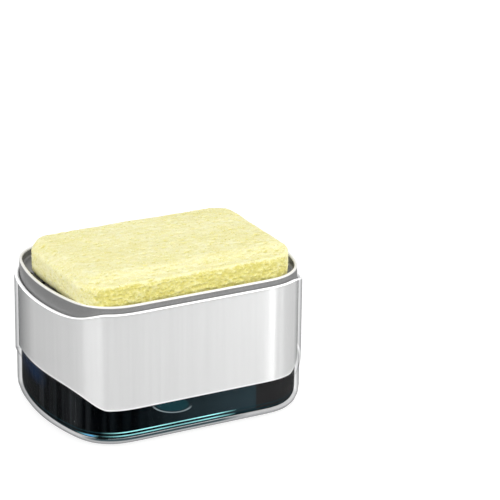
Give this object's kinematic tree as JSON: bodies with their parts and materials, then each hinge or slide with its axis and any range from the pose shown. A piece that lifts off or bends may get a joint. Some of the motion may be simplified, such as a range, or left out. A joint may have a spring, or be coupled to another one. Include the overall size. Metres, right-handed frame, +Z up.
{
  "type": "soap pump caddy",
  "caption": "Countertop soap reservoir in a clear shell with a silver band, and a spring-loaded press-down pump tray that holds a sponge.",
  "frame": {"origin": "centre of the base, on the surface that the feet stand on", "axes": "+X along the long side, +Y to the back, +Z up"},
  "size_m": [0.14, 0.105, 0.0875],
  "materials": {
    "clear_shell": "clear polished moulded acrylic",
    "silver_band": "satin silver sheet",
    "smoked_plastic": "smoked near-black plastic with a teal tint",
    "tray_grey": "metallic grey moulded plastic",
    "deck_grey": "fine matt moulded plastic",
    "pump_plastic": "natural translucent polypropylene",
    "seal_rubber": "matt black rubber",
    "seal_silicone": "pale silicone",
    "stainless": "bright stainless steel",
    "sponge_cellulose": "porous pale yellow cellulose"
  },
  "bodies": {
    "base": {"outer_shell": "clear_shell", "silver_band": "silver_band", "non_slip_feet": "seal_rubber", "soap_reservoir": "smoked_plastic"},
    "pump_unit": {"pump_deck": "deck_grey", "deck_seal": "seal_silicone", "pump_cylinder": "pump_plastic", "cylinder_gasket": "seal_rubber", "collar_nut": "deck_grey", "stem_bush": "pump_plastic", "valve_cage": "pump_plastic", "dip_tube": "pump_plastic", "pickup_foot": "pump_plastic", "return_spring": "stainless"},
    "inlet_valve_ball": {"inlet_ball": "stainless"},
    "tray_unit": {"soap_tray": "tray_grey", "pump_stem": "pump_plastic", "piston": "seal_rubber", "piston_retainer": "stainless", "soap_nozzle": "tray_grey", "nozzle_seal": "seal_rubber"},
    "outlet_valve_ball": {"outlet_ball": "stainless"},
    "loose_sponge": {"sponge": "sponge_cellulose"}
  },
  "joints": [
    {"name": "deck_lift", "type": "slide", "parent": "base", "child": "pump_unit", "axis": [0, 0, 1], "range_m": [0, 0.08]},
    {"name": "tray_press", "type": "slide", "parent": "pump_unit", "child": "tray_unit", "axis": [0, 0, -1], "range_m": [0, 0.008], "stiffness_N_per_m": 700, "springref_m": -0.005, "deforming": ["return_spring"]},
    {"name": "inlet_ball_lift", "type": "slide", "parent": "pump_unit", "child": "inlet_valve_ball", "axis": [0, 0, 1], "range_m": [0, 0.0012]},
    {"name": "outlet_ball_lift", "type": "slide", "parent": "tray_unit", "child": "outlet_valve_ball", "axis": [0, 0, 1], "range_m": [0, 0.0012]},
    {"name": "sponge_lift", "type": "slide", "parent": "tray_unit", "child": "loose_sponge", "axis": [0, 0, 1], "range_m": [0, 0.06]}
  ]
}
